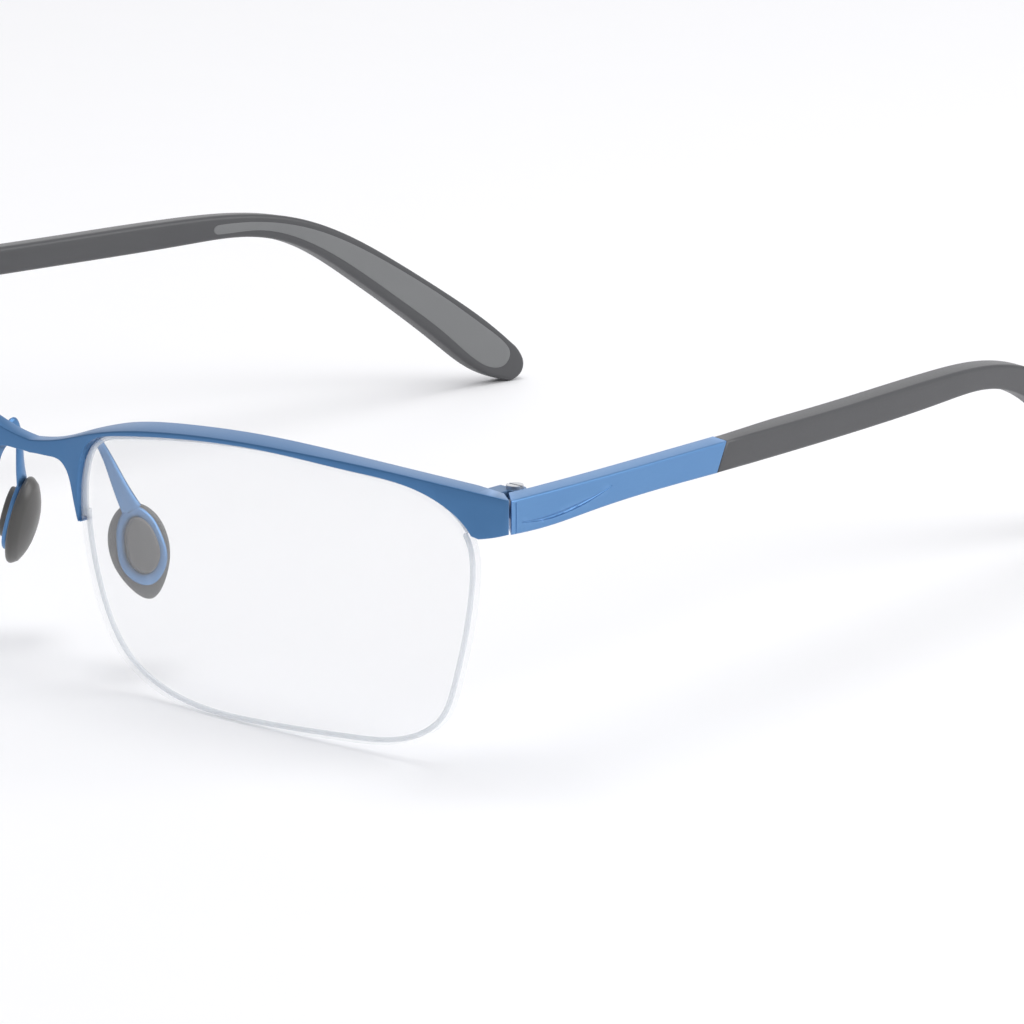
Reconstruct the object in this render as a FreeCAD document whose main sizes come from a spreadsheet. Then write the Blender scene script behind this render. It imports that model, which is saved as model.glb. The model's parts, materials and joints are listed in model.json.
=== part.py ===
import FreeCAD, Part
import math
import os

# Half rim eyeglasses. +Z up, the front faces -Y, and +X is the wearer's left.
# The origin is the middle of the footprint, on the surface that the lenses and temple tips stand on.
# Left pieces are modelled, and each right piece is the mirror image of its left one.

Vector = FreeCAD.Vector
os.makedirs("parts", exist_ok=True)
doc = FreeCAD.newDocument("half_rim_eyeglasses")

DIMENSIONS = [
    ("hinge_y", -65.8, "outer corner of the hinge, from the middle of the footprint"),
    ("half_width", 70.0, "outer corner of the hinge, from the middle plane"),
    ("lens_radius", 200.0, "front surface of the lens"),
    ("lens_thickness", 2.0, "lens"),
    ("lens_centre_x", 36.4, "box centre of the lens"),
    ("lens_centre_z", 16.0, "box centre of the lens"),
    ("lens_vertex_y", -4.6, "front of the lens at its box centre, from the hinge corner"),
    ("face_form", 3.2, "tilt of each lens about the vertical, degrees"),
    ("rim_gap", 0.4, "between the lens edge and the bar"),
    ("bar_depth", 3.0, "front bar, front to back"),
    ("bar_proud", 0.5, "front bar ahead of the lens"),
    ("cord_radius", 0.3, "nylon lens cord"),
    ("liner_radius", 0.34, "nylon rim liner"),
    ("groove_play", 0.04, "round the cord and the liner"),
    ("lens_groove", 0.78, "depth of the groove in the lens edge"),
    ("bar_groove", 0.66, "reach of the bar's groove beyond the lens edge"),
    ("mitre_gap", 0.35, "between the endpiece and the temple"),
    ("plate_thickness", 2.2, "blue temple front"),
    ("sleeve_thickness", 3.0, "grey temple sleeve"),
    ("tip_thickness", 2.5, "end of the temple sleeve"),
    ("core_thickness", 1.2, "steel core of the temple"),
    ("core_height", 1.8, "steel core of the temple"),
    ("inlay_depth", 0.5, "soft strip in the sleeve"),
    ("line_depth", 0.25, "sunk line on the temple front"),
    ("line_radius", 0.28, "sunk line on the temple front"),
    ("pin_x", 66.2, "hinge axis"),
    ("pin_y", 5.05, "hinge axis, from the hinge corner"),
    ("pin_radius", 0.55, "hinge screw"),
    ("pin_play", 0.05, "round the screw in the temple's knuckle"),
    ("knuckle_radius", 1.25, "hinge knuckles"),
    ("knuckle_height", 0.95, "each hinge knuckle"),
    ("knuckle_gap", 0.1, "between knuckles"),
    ("hinge_z", 28.2, "underside of the lowest knuckle"),
    ("leaf_thickness", 0.7, "hinge leaves"),
    ("leaf_inset", 0.2, "hinge leaves let into the metal that carries them"),
    ("screw_head_radius", 0.95, "hinge screw"),
    ("screw_head_height", 0.4, "hinge screw"),
    ("screw_slot", 0.28, "width of the screw's slot"),
    ("arm_radius", 0.6, "pad arm wire"),
    ("ring_thickness", 0.6, "ring at the end of the pad arm"),
    ("pad_thickness", 2.5, "nose pad at its middle"),
    ("pad_dome", 11.0, "radius of the pad's skin side"),
    ("boss_height", 1.5, "boss on the nose pad, through the ring"),
    ("pad_drop", 0.6, "middle of the nose pad below the middle of its ring"),
    ("link_width", 2.2, "hinge, between a leaf and its knuckle"),
    ("slot_length", 4.0, "cut across the screw's head"),
    ("slot_height", 1.0, "cut down into the screw's head"),
    ("band_height", 45.0, "tall enough to cut any piece across its full height"),
    ("front_reach", 90.0, "front view prisms, ahead of the origin"),
    ("rear_reach", 20.0, "front view prisms, behind the origin"),
    ("side_reach", 90.0, "side view prisms, out from the middle plane"),
    ("hinge_room", 200.0, "wider and longer than the hinge"),
]
sheet = doc.addObject("Spreadsheet::Sheet", "Dimensions")
size = {}
for row, (alias, value, note) in enumerate(DIMENSIONS, start=1):
    sheet.set("A%d" % row, note)
    sheet.set("B%d" % row, str(value))
    sheet.setAlias("B%d" % row, alias)
    size[alias] = value
doc.recompute()

# The three sketch planes: how a sketch is turned, and which way it is extruded.
TURN = {
    "plan": FreeCAD.Rotation(0, 0, 0),
    "front": FreeCAD.Rotation(Vector(1, 0, 0), 90),
    "side": FreeCAD.Rotation(Vector(1, 1, 1), 120),
}
NORMAL = {"plan": Vector(0, 0, 1), "front": Vector(0, 1, 0), "side": Vector(1, 0, 0)}

# Lens outline, (x, z), from the nasal end of the bar over the top and round.
LENS_OUTLINE = [
    (8.4, 19.0), (8.4, 24.0), (9.8, 27.6), (14.6, 29.5), (24.0, 30.9), (38.0, 31.8),
    (50.0, 31.4), (60.2, 29.7), (64.1, 26.5), (64.9, 20.0), (62.8, 9.8), (60.9, 5.4),
    (57.2, 2.6), (48.0, 0.9), (33.6, 0.1), (22.0, 0.8), (14.2, 4.6), (10.2, 11.5),
]
# Top of the front bar, (x, z), outward from the bridge.
BAR_TOP = [
    (4.2, 28.4), (9.4, 29.9), (15.0, 31.2), (24.0, 32.5), (36.0, 33.2), (48.0, 33.0), (58.0, 32.4),
    (70.0, 31.7),
]
BRIDGE_TOP = (0.0, 27.6)
ENDPIECE_FOOT = [(70.0, 27.7), (67.4, 26.8), (65.7, 26.6)]
# Underside of the bridge and the nasal side of the leg.
BRIDGE_UNDER = [(0.0, 25.4), (2.8, 25.5), (4.9, 25.3), (6.2, 23.9), (6.9, 21.8), (7.6, 19.4)]
LEG_FOOT = [(8.0, 18.9), (8.8, 19.2)]
INSIDE_LENS = [(14.0, 22.0), (58.0, 22.0)]
# The temple in side view, (distance behind the hinge corner, z).
TEMPLE_TOP = [
    (0.0, 31.6), (12.0, 31.3), (37.5, 30.8), (62.0, 30.1), (82.0, 29.6), (92.0, 28.8), (100.0, 27.0),
    (107.7, 23.7), (115.6, 19.0), (123.6, 13.7), (131.0, 8.3), (134.6, 5.2),
]
TIP_ROUND = [(136.6, 2.4), (135.2, 0.25)]
TEMPLE_UNDER = [
    (134.2, 0.0), (129.5, 1.9), (123.6, 6.3), (115.6, 12.6), (107.7, 18.4), (100.0, 23.2), (92.0, 25.7),
    (82.0, 26.2), (62.0, 26.5), (37.0, 27.2), (21.0, 27.6), (14.0, 27.5), (7.0, 27.3), (0.0, 27.6),
]
PLATE_END_TOP = 37.9
PLATE_END_FOOT = 36.2
SLEEVE_FULL = 52.0
CORE_END = 124.0
WAVY_LINE = [(2.2, 28.7), (6.9, 28.35), (10.0, 28.5), (13.0, 28.85), (17.3, 29.7)]
INLAY_UPPER = [
    (86.0, 28.2), (92.0, 27.8), (100.0, 26.0), (107.7, 22.7), (115.6, 18.1), (123.6, 12.8), (130.6, 7.6),
]
INLAY_TIP = (134.0, 3.6)
INLAY_LOWER = [
    (131.2, 2.3), (128.4, 3.7), (123.6, 7.8), (115.6, 14.0), (107.7, 19.7), (100.0, 24.2), (93.0, 26.5),
    (86.0, 26.9),
]
INLAY_NOSE = (85.4, 27.6)


def temple_outer(behind):
    """Return how far the temple's outer face is from the middle plane."""
    return size["half_width"] - 0.0333 * behind - 0.00055 * behind ** 2


def lens_front(x, z):
    """Return y of the lens's front surface, from the hinge corner."""
    across = x - size["lens_centre_x"]
    up = z - size["lens_centre_z"]
    bulge = (across ** 2 + up ** 2) / (2 * size["lens_radius"])
    return size["lens_vertex_y"] + across * math.tan(math.radians(size["face_form"])) + bulge


def bar_front(x):
    """Return y of the front bar's front face, from the hinge corner."""
    return lens_front(max(abs(x), 6.0), 29.0) - size["bar_proud"]


def through(points):
    """Return an open curve through the points."""
    curve = Part.BSplineCurve()
    curve.interpolate([Vector(*point) for point in points])
    return curve


def closed_through(points):
    """Return a closed curve through the points."""
    curve = Part.BSplineCurve()
    curve.interpolate([Vector(*point) for point in points], PeriodicFlag=True)
    return curve


def quarters(curve):
    """Return a closed curve as four open stretches that meet end to end."""
    lap = curve.LastParameter - curve.FirstParameter
    knots = [curve.FirstParameter + lap * step / 4 for step in range(5)]
    stretches = []
    for low, high in zip(knots, knots[1:]):
        stretch = curve.copy()
        stretch.setNotPeriodic()
        stretch.segment(low, high)
        stretches.append(stretch)
    return stretches


def flat(points):
    """Return the 2-D points as sketch points."""
    return [(a, b, 0.0) for a, b in points]


def line(start, end):
    """Return a straight sketch line between two 2-D points."""
    return Part.LineSegment(Vector(start[0], start[1], 0), Vector(end[0], end[1], 0))


def arc(start, middle, end):
    """Return an arc through three 2-D points."""
    return Part.Arc(*[Vector(point[0], point[1], 0) for point in (start, middle, end)])


def sketch_on(plane, name, curves):
    """Draw the curves in a sketch on one of the three planes."""
    sketch = doc.addObject("Sketcher::SketchObject", name)
    sketch.Placement = FreeCAD.Placement(Vector(0, 0, 0), TURN[plane])
    if plane != "front":
        sketch.setExpression("Placement.Base.y", "Dimensions.hinge_y")
    for curve in curves:
        sketch.addGeometry(curve, False)
    return sketch


def extrude(plane, name, source, forward, reverse="0"):
    """Extrude a sketch along its plane's direction, by lengths that are expressions."""
    solid = doc.addObject("Part::Extrusion", name)
    solid.Base = source
    solid.DirMode = "Custom"
    solid.Dir = NORMAL[plane]
    solid.Solid = True
    solid.setExpression("LengthFwd", forward)
    solid.setExpression("LengthRev", reverse)
    return solid


def combine(kind, name, base, tool):
    """Cut, fuse or intersect two objects."""
    result = doc.addObject("Part::" + kind, name)
    result.Base = base
    result.Tool = tool
    return result


def fuse_all(name, parts):
    """Fuse several objects into one."""
    result = doc.addObject("Part::MultiFuse", name)
    result.Shapes = parts
    return result


def box(name, length, width, height, x, y, z):
    """Place a box by expressions."""
    body = doc.addObject("Part::Box", name)
    body.setExpression("Length", length)
    body.setExpression("Width", width)
    body.setExpression("Height", height)
    body.setExpression("Placement.Base.x", x)
    body.setExpression("Placement.Base.y", y)
    body.setExpression("Placement.Base.z", z)
    return body


def set_shape(name, shape):
    """Hold a swept or curved shape that no primitive gives."""
    feature = doc.addObject("Part::Feature", name)
    feature.Shape = shape
    return feature


def swept(path, radius):
    """Sweep a circle along a path edge."""
    start = path.valueAt(path.FirstParameter)
    direction = path.tangentAt(path.FirstParameter)
    ring = Part.Wire([Part.makeCircle(radius, start, direction)])
    return Part.Wire([path]).makePipeShell([ring], True, False)


def cylinder(name, radius, height, x, y, z):
    """Place an upright cylinder by expressions."""
    body = doc.addObject("Part::Cylinder", name)
    body.setExpression("Radius", radius)
    body.setExpression("Height", height)
    body.setExpression("Placement.Base.x", x)
    body.setExpression("Placement.Base.y", y)
    body.setExpression("Placement.Base.z", z)
    return body


REAR_REACH = "Dimensions.rear_reach"
FRONT_REACH = "Dimensions.front_reach"
BAND_HEIGHT = "Dimensions.band_height"
pieces = {}


def keep(name, piece):
    """Name a finished piece and list it for export."""
    piece.Label = name
    pieces[name] = piece
    return piece


# Lenses: a spherical shell with the lens outline and a groove round its edge.
GROWN_POINTS = 40
lens_curve = closed_through(flat(LENS_OUTLINE))
lens_sketch = sketch_on("front", "LensOutline", quarters(lens_curve))


def prism_of_lens(name, growth):
    """Extrude the lens outline, grown all round by a distance in mm."""
    lap = lens_curve.LastParameter - lens_curve.FirstParameter
    points = []
    for step in range(GROWN_POINTS):
        at = lens_curve.FirstParameter + lap * step / GROWN_POINTS
        place = lens_curve.value(at)
        along = lens_curve.tangent(at)[0]
        points.append((place.x - along.y * growth, place.y + along.x * growth))
    outline = sketch_on("front", name + "Outline", quarters(closed_through(flat(points))))
    return extrude("front", name, outline, REAR_REACH, FRONT_REACH)


def curved_layer(name, source, from_front, thickness):
    """Keep the layer of a prism between two spheres that are concentric with the lens's front surface."""
    centre_x = "Dimensions.lens_centre_x - Dimensions.lens_radius * sin(Dimensions.face_form * 1 deg)"
    vertex_y = "Dimensions.hinge_y + Dimensions.lens_vertex_y"
    centre_y = vertex_y + " + Dimensions.lens_radius * cos(Dimensions.face_form * 1 deg)"
    balls = []
    for label, depth in (("Outer", from_front), ("Inner", "%s + %s" % (from_front, thickness))):
        ball = doc.addObject("Part::Sphere", name + label)
        ball.setExpression("Radius", "Dimensions.lens_radius - (%s)" % depth)
        ball.setExpression("Placement.Base.x", centre_x)
        ball.setExpression("Placement.Base.y", centre_y)
        ball.setExpression("Placement.Base.z", "Dimensions.lens_centre_z")
        balls.append(ball)
    inside = combine("Common", name + "Inside", source, balls[0])
    return combine("Cut", name, inside, balls[1])


lens_prism = extrude("front", "LensPrism", lens_sketch, REAR_REACH, FRONT_REACH)
lens_blank = curved_layer("LensBlank", lens_prism, "0", "Dimensions.lens_thickness")
core_prism = prism_of_lens("LensCore", -size["lens_groove"])
edge_ring = combine("Cut", "LensEdgeRing", lens_prism, core_prism)
groove_width = "2 * (Dimensions.liner_radius + Dimensions.groove_play)"
groove_start = "Dimensions.lens_thickness / 2 - Dimensions.liner_radius - Dimensions.groove_play"
lens_groove = curved_layer("LensGroove", edge_ring, groove_start, groove_width)
keep("lens_left", combine("Cut", "LensLeft", lens_blank, lens_groove))


def edge_path(start, end, outward, count):
    """Return a curve round the lens edge, between two outline points, at mid thickness."""
    lap = lens_curve.LastParameter - lens_curve.FirstParameter
    first = lens_curve.parameter(Vector(start[0], start[1], 0))
    last = lens_curve.parameter(Vector(end[0], end[1], 0))
    if last <= first:
        last += lap
    points = []
    for step in range(count + 1):
        at = first + (last - first) * step / count
        at = lens_curve.FirstParameter + (at - lens_curve.FirstParameter) % lap
        place = lens_curve.value(at)
        along = lens_curve.tangent(at)[0]
        x = place.x - along.y * outward
        z = place.y + along.x * outward
        points.append((x, size["hinge_y"] + lens_front(x, z) + size["lens_thickness"] / 2, z))
    return through(points).toShape()


PATH_STEPS = 18
cord_depth = size["cord_radius"] + size["groove_play"] * 2
cord_path = edge_path(LENS_OUTLINE[8], LENS_OUTLINE[0], -cord_depth, PATH_STEPS)
keep("lens_cord_left", set_shape("CordSweep", swept(cord_path, size["cord_radius"])))

# Rim liner: a strip round the top and nasal edge, half in the bar and half in the lens.
strip_outer = prism_of_lens("StripOuter", size["bar_groove"] - size["groove_play"])
strip_inner = prism_of_lens("StripInner", size["rim_gap"] / 2 - size["liner_radius"])
strip_ring = combine("Cut", "StripRing", strip_outer, strip_inner)
strip_start = "Dimensions.lens_thickness / 2 - Dimensions.liner_radius"
strip_loop = curved_layer("StripLoop", strip_ring, strip_start, "2 * Dimensions.liner_radius")
region = [(4.0, 19.4), (4.0, 40.0), (68.0, 40.0), (68.0, 27.4), (58.0, 25.0), (14.0, 19.4)]
region_lines = [line(start, end) for start, end in zip(region, region[1:] + region[:1])]
over_top_outline = sketch_on("front", "OverTopOutline", region_lines)
over_top = extrude("front", "OverTop", over_top_outline, REAR_REACH, FRONT_REACH)
keep("rim_liner_left", combine("Common", "LinerLeft", strip_loop, over_top))

# Front bar: its outline in front view, kept to a curved band in plan, opened for the lenses and liners.
top = [(-x, z) for x, z in reversed(BAR_TOP)] + [BRIDGE_TOP] + BAR_TOP
under = [(-x, z) for x, z in reversed(BRIDGE_UNDER)] + BRIDGE_UNDER[1:]
bar_curves = [through(flat(top)), through(flat(under))]
for sign in (1, -1):
    corners = [BAR_TOP[-1]] + ENDPIECE_FOOT + INSIDE_LENS[::-1] + [LEG_FOOT[1]]
    corners = [(sign * x, z) for x, z in corners]
    bar_curves += [line(start, end) for start, end in zip(corners, corners[1:])]
    bar_curves.append(arc(*[(sign * x, z) for x, z in (LEG_FOOT[1], LEG_FOOT[0], BRIDGE_UNDER[-1])]))
bar_outline = sketch_on("front", "BarOutline", bar_curves)
bar_prism = extrude("front", "BarPrism", bar_outline, REAR_REACH, FRONT_REACH)

half_front = [(x, bar_front(x)) for x in (0.0, 8.0, 16.0, 25.0, 36.0, 48.0, 58.0, 66.0)]
front_points = [(-x, y) for x, y in reversed(half_front[1:])] + half_front
rear_points = [(x, y + size["bar_depth"]) for x, y in front_points]
outer_corner = (size["half_width"], bar_front(size["half_width"]))
inner_corner = (outer_corner[0] - size["bar_depth"], outer_corner[1] + size["bar_depth"])
band_curves = [through(flat(front_points)), through(flat(rear_points))]
last_rear = (half_front[-1][0], half_front[-1][1] + size["bar_depth"])
for sign in (1, -1):
    ends = [(sign * x, y) for x, y in (half_front[-1], outer_corner, inner_corner, last_rear)]
    band_curves += [line(start, end) for start, end in zip(ends, ends[1:])]
bar_band = extrude("plan", "BarBand", sketch_on("plan", "BarPlan", band_curves), BAND_HEIGHT)
bar_blank = combine("Common", "BarBlank", bar_prism, bar_band)

lens_opening = prism_of_lens("LensOpening", size["rim_gap"])
liner_prism = prism_of_lens("LinerRoom", size["bar_groove"])
bar_groove = curved_layer("BarGroove", liner_prism, groove_start, groove_width)
left_room = combine("Fuse", "LensRoomLeft", lens_opening, bar_groove)


def mirrored(name, source):
    """Mirror an object in the middle plane."""
    image = doc.addObject("Part::Mirroring", name)
    image.Source = source
    image.Base = Vector(0, 0, 0)
    image.Normal = Vector(1, 0, 0)
    return image


# Hinge: two knuckles on the endpiece's leaf and one between them on the temple's leaf, on one screw.
PIN_X = "Dimensions.pin_x"
PIN_Y = "Dimensions.hinge_y + Dimensions.pin_y"
PITCH = "(Dimensions.knuckle_height + Dimensions.knuckle_gap)"
LEVEL = ["Dimensions.hinge_z + %d * %s" % (step, PITCH) for step in range(3)]
STACK = "3 * Dimensions.knuckle_height + 2 * Dimensions.knuckle_gap"
FRONT_LEAF_LENGTH = 7.0

pin_hole = cylinder("PinHole", "Dimensions.pin_radius", BAND_HEIGHT, PIN_X, PIN_Y, "0")
play_radius = "Dimensions.pin_radius + Dimensions.pin_play"
pin_clearance = cylinder("PinClearance", play_radius, BAND_HEIGHT, PIN_X, PIN_Y, "0")
leaf_start = size["pin_x"] - 2.0
rear_slope = (bar_front(leaf_start) - bar_front(leaf_start - FRONT_LEAF_LENGTH)) / FRONT_LEAF_LENGTH
leaf_rear = bar_front(leaf_start) + size["bar_depth"]
leaf_plan = [
    (leaf_start, leaf_rear - size["leaf_inset"]),
    (leaf_start, leaf_rear + size["leaf_thickness"]),
    (leaf_start - FRONT_LEAF_LENGTH, leaf_rear - rear_slope * FRONT_LEAF_LENGTH + size["leaf_thickness"]),
    (leaf_start - FRONT_LEAF_LENGTH, leaf_rear - rear_slope * FRONT_LEAF_LENGTH - size["leaf_inset"]),
]
leaf_lines = [line(start, end) for start, end in zip(leaf_plan, leaf_plan[1:] + leaf_plan[:1])]
front_leaf_plan = sketch_on("plan", "FrontLeafPlan", leaf_lines)
front_leaf_prism = extrude("plan", "FrontLeafPrism", front_leaf_plan, BAND_HEIGHT)
HINGE_ROOM = "Dimensions.hinge_room"
leaf_band = box("HingeBand", HINGE_ROOM, HINGE_ROOM, STACK, "0", "Dimensions.hinge_y * 2", "Dimensions.hinge_z")
front_leaf_bar = combine("Common", "FrontLeafBar", front_leaf_prism, leaf_band)
front_leaf = combine("Cut", "FrontLeaf", front_leaf_bar, lens_opening)
front_parts = [front_leaf]
link_x = "Dimensions.pin_x + 0.1 - Dimensions.link_width"
link_y = "Dimensions.hinge_y + %g" % (leaf_rear - size["leaf_inset"])
link_length = "%g mm" % (size["pin_y"] - leaf_rear + size["leaf_inset"])
for index in (0, 2):
    name = "FrontKnuckle%d" % index
    height = "Dimensions.knuckle_height"
    front_parts.append(cylinder(name, "Dimensions.knuckle_radius", height, PIN_X, PIN_Y, LEVEL[index]))
    front_parts.append(box(
        name + "Link", "Dimensions.link_width", link_length, height, link_x, link_y, LEVEL[index]))
front_hinge_solid = fuse_all("FrontHingeSolid", front_parts)
keep("front_hinge_left", combine("Cut", "FrontHinge", front_hinge_solid, pin_hole))

bar_rooms = fuse_all("BarRooms", [left_room, front_hinge_solid])
bar_cut_left = combine("Cut", "BarCutLeft", bar_blank, bar_rooms)
keep("front_bar", combine("Cut", "FrontBar", bar_cut_left, mirrored("BarRoomsRight", bar_rooms)))

shank = cylinder("ScrewShank", "Dimensions.pin_radius", STACK, PIN_X, PIN_Y, "Dimensions.hinge_z")
head_z = "Dimensions.hinge_z + " + STACK
screw_head = cylinder(
    "ScrewHead", "Dimensions.screw_head_radius", "Dimensions.screw_head_height", PIN_X, PIN_Y, head_z)
screw_slot = box(
    "ScrewSlot", "Dimensions.slot_length", "Dimensions.screw_slot", "Dimensions.slot_height",
    "Dimensions.pin_x - Dimensions.slot_length / 2", PIN_Y + " - Dimensions.screw_slot / 2",
    head_z + " + Dimensions.screw_head_height / 2")
screw_solid = combine("Fuse", "ScrewSolid", shank, screw_head)
keep("hinge_screw_left", combine("Cut", "Screw", screw_solid, screw_slot))

# Temple: side view outline kept to a curved band in plan.
PLAN_STATIONS = [10.0, 25.0, 40.0, 60.0, 80.0, 100.0, 120.0, 140.0]


def temple_band(name, start, end, outer_in, inner_in):
    """Build the upright band between two offsets from the temple's outer face."""
    stations = [start] + [at for at in PLAN_STATIONS if start + 3 < at < end - 3] + [end]
    outer = [(temple_outer(at) - outer_in(at), at) for at in stations]
    inner = [(temple_outer(at) - inner_in(at), at) for at in stations]
    curves = [through(flat(outer)), through(flat(inner))]
    curves += [line(outer[0], inner[0]), line(outer[-1], inner[-1])]
    return extrude("plan", name, sketch_on("plan", name + "Plan", curves), BAND_HEIGHT)


def side_prism(name, curves):
    """Extrude a side view outline across the temple."""
    return extrude("side", name, sketch_on("side", name + "Side", curves), "Dimensions.side_reach")


def constant(value):
    """Return a thickness that doesn't change along the temple."""
    return lambda behind: value


def sleeve_inner(behind):
    """Return the sleeve's thickness, which grows from the plate's and falls towards the tip."""
    if behind < SLEEVE_FULL:
        share = (behind - PLATE_END_FOOT) / (SLEEVE_FULL - PLATE_END_FOOT)
        share = max(0.0, min(1.0, share))
        ease = share * share * (3 - 2 * share)
        return size["plate_thickness"] + ease * (size["sleeve_thickness"] - size["plate_thickness"])
    share = max(0.0, (behind - 90.0) / 50.0)
    return size["sleeve_thickness"] - share * (size["sleeve_thickness"] - size["tip_thickness"])


top_curve = through(flat(TEMPLE_TOP))
under_curve = through(flat(TEMPLE_UNDER))


def height_at(curve, behind):
    """Return z on a side view curve at a distance behind the hinge."""
    low, high = curve.FirstParameter, curve.LastParameter
    rising = curve.value(high).x > curve.value(low).x
    for _ in range(40):
        middle = (low + high) / 2
        if (curve.value(middle).x < behind) == rising:
            low = middle
        else:
            high = middle
    return curve.value(low).y


temple_curves = [
    top_curve,
    arc(TEMPLE_TOP[-1], TIP_ROUND[0], TIP_ROUND[1]),
    line(TIP_ROUND[1], TEMPLE_UNDER[0]),
    under_curve,
    line(TEMPLE_UNDER[-1], TEMPLE_TOP[0]),
]
temple_prism = side_prism("TemplePrism", temple_curves)
OVERSHOOT = 5.0
foot_z = height_at(under_curve, PLATE_END_FOOT)
top_z = height_at(top_curve, PLATE_END_TOP)
lean = (PLATE_END_TOP - PLATE_END_FOOT) / (top_z - foot_z)
low_edge = (PLATE_END_FOOT - lean * OVERSHOOT, foot_z - OVERSHOOT)
high_edge = (PLATE_END_TOP + lean * OVERSHOOT, top_z + OVERSHOOT)
ahead = [(-OVERSHOOT, low_edge[1]), low_edge, high_edge, (-OVERSHOOT, high_edge[1])]
ahead_lines = [line(start, end) for start, end in zip(ahead, ahead[1:] + ahead[:1])]
plate_side = side_prism("PlateRegion", ahead_lines)

plate_start = size["mitre_gap"]
plate_plan = temple_band("PlateBand", plate_start, 45.0, constant(0.0), constant(size["plate_thickness"]))
mitre_plan = [
    (size["half_width"] + OVERSHOOT, size["mitre_gap"] - OVERSHOOT),
    (size["half_width"] + OVERSHOOT, 60.0),
    (50.0, 60.0),
    (50.0, size["mitre_gap"] + size["half_width"] - 50.0),
]
mitre_lines = [line(start, end) for start, end in zip(mitre_plan, mitre_plan[1:] + mitre_plan[:1])]
mitre_room = extrude("plan", "MitreRoom", sketch_on("plan", "MitrePlan", mitre_lines), BAND_HEIGHT)
plate_outline = combine("Common", "PlateOutline", temple_prism, plate_side)
plate_blank = combine("Common", "PlateBlank", plate_outline, plate_plan)
plate_mitred = combine("Common", "PlateMitred", plate_blank, mitre_room)

leaf_ahead = size["pin_y"] + size["knuckle_radius"] + 0.4
temple_leaf_plan = temple_band(
    "TempleLeafBand", leaf_ahead, leaf_ahead + 8.0, constant(size["plate_thickness"] - size["leaf_inset"]),
    constant(size["plate_thickness"] + size["leaf_thickness"]))
temple_leaf = combine("Common", "TempleLeaf", temple_leaf_plan, leaf_band)
inner_face = temple_outer(size["pin_y"]) - size["plate_thickness"]
temple_link = box(
    "TempleLink", "%g mm" % (inner_face + size["leaf_inset"] - size["pin_x"]), "Dimensions.link_width",
    "Dimensions.knuckle_height", "Dimensions.pin_x", PIN_Y, LEVEL[1])
middle_knuckle = cylinder(
    "MiddleKnuckle", "Dimensions.knuckle_radius", "Dimensions.knuckle_height", PIN_X, PIN_Y, LEVEL[1])
temple_hinge_solid = fuse_all("TempleHingeSolid", [temple_leaf, temple_link, middle_knuckle])
keep("temple_hinge_left", combine("Cut", "TempleHinge", temple_hinge_solid, pin_clearance))

line_rise = size["line_radius"] - size["line_depth"]
wavy_points = []
for behind, z in WAVY_LINE:
    wavy_points.append((temple_outer(behind) + line_rise, size["hinge_y"] + behind, z))
wavy_groove = set_shape("WavyGroove", swept(through(wavy_points).toShape(), size["line_radius"]))
plate_rooms = fuse_all("PlateRooms", [temple_hinge_solid, wavy_groove])
keep("temple_plate_left", combine("Cut", "Plate", plate_mitred, plate_rooms))

tip_end = TIP_ROUND[0][0] + 2.0
sleeve_band = temple_band("SleeveBand", 30.0, tip_end, constant(0.0), sleeve_inner)
sleeve_outline = combine("Cut", "SleeveOutline", temple_prism, plate_side)
sleeve_blank = combine("Common", "SleeveBlank", sleeve_outline, sleeve_band)

core_stations = [PLATE_END_FOOT - 2.0, 50.0, 62.0, 82.0, 92.0, 100.0, 107.7, 115.6, CORE_END]
middle_line = [(at, (height_at(top_curve, at) + height_at(under_curve, at)) / 2) for at in core_stations]
core_top = [(at, z + size["core_height"] / 2) for at, z in middle_line]
core_under = [(at, z - size["core_height"] / 2) for at, z in middle_line]
core_curves = [
    through(flat(core_top)), through(flat(core_under)),
    line(core_top[0], core_under[0]), line(core_top[-1], core_under[-1]),
]
core_edge = (size["plate_thickness"] - size["core_thickness"]) / 2
core_band = temple_band(
    "CoreBand", 30.0, CORE_END + 2.0, constant(core_edge), constant(core_edge + size["core_thickness"]))
core_blank = combine("Common", "CoreBlank", side_prism("CorePrism", core_curves), core_band)
keep("temple_core_left", combine("Cut", "Core", core_blank, plate_side))

inlay_curves = [
    through(flat(INLAY_UPPER)), arc(INLAY_UPPER[-1], INLAY_TIP, INLAY_LOWER[0]),
    through(flat(INLAY_LOWER)), arc(INLAY_LOWER[-1], INLAY_NOSE, INLAY_UPPER[0]),
]
inlay_band = temple_band(
    "InlayBand", 80.0, tip_end, lambda behind: sleeve_inner(behind) - size["inlay_depth"],
    lambda behind: sleeve_inner(behind) + 1.0)
inlay_room = combine("Common", "InlayRoom", side_prism("InlayPrism", inlay_curves), inlay_band)
keep("temple_inlay_left", combine("Common", "Inlay", inlay_room, sleeve_blank))
sleeve_rooms = fuse_all("SleeveRooms", [core_blank, inlay_room])
keep("temple_sleeve_left", combine("Cut", "Sleeve", sleeve_blank, sleeve_rooms))

# Nose pad and its arm. The ring's plane faces the nose, and its top leans inward.
RING_CENTRE = Vector(10.1, size["hinge_y"] + 3.3, 14.9)
PAD_SPLAY = 28.0
PAD_LEAN = 18.0
nose_lean = math.radians(PAD_LEAN)
nose_splay = math.radians(PAD_SPLAY)
up_pad = Vector(-math.sin(nose_lean), 0, math.cos(nose_lean))
towards_nose = Vector(
    -math.cos(nose_splay) * math.cos(nose_lean), math.sin(nose_splay),
    -math.sin(nose_lean) * math.cos(nose_splay))
across_pad = up_pad.cross(towards_nose)
across_pad.normalize()
towards_nose = across_pad.cross(up_pad)
pad_turn = FreeCAD.Rotation(across_pad, up_pad, towards_nose, "ZXY")
pad_place = FreeCAD.Placement(RING_CENTRE, pad_turn)


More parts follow.
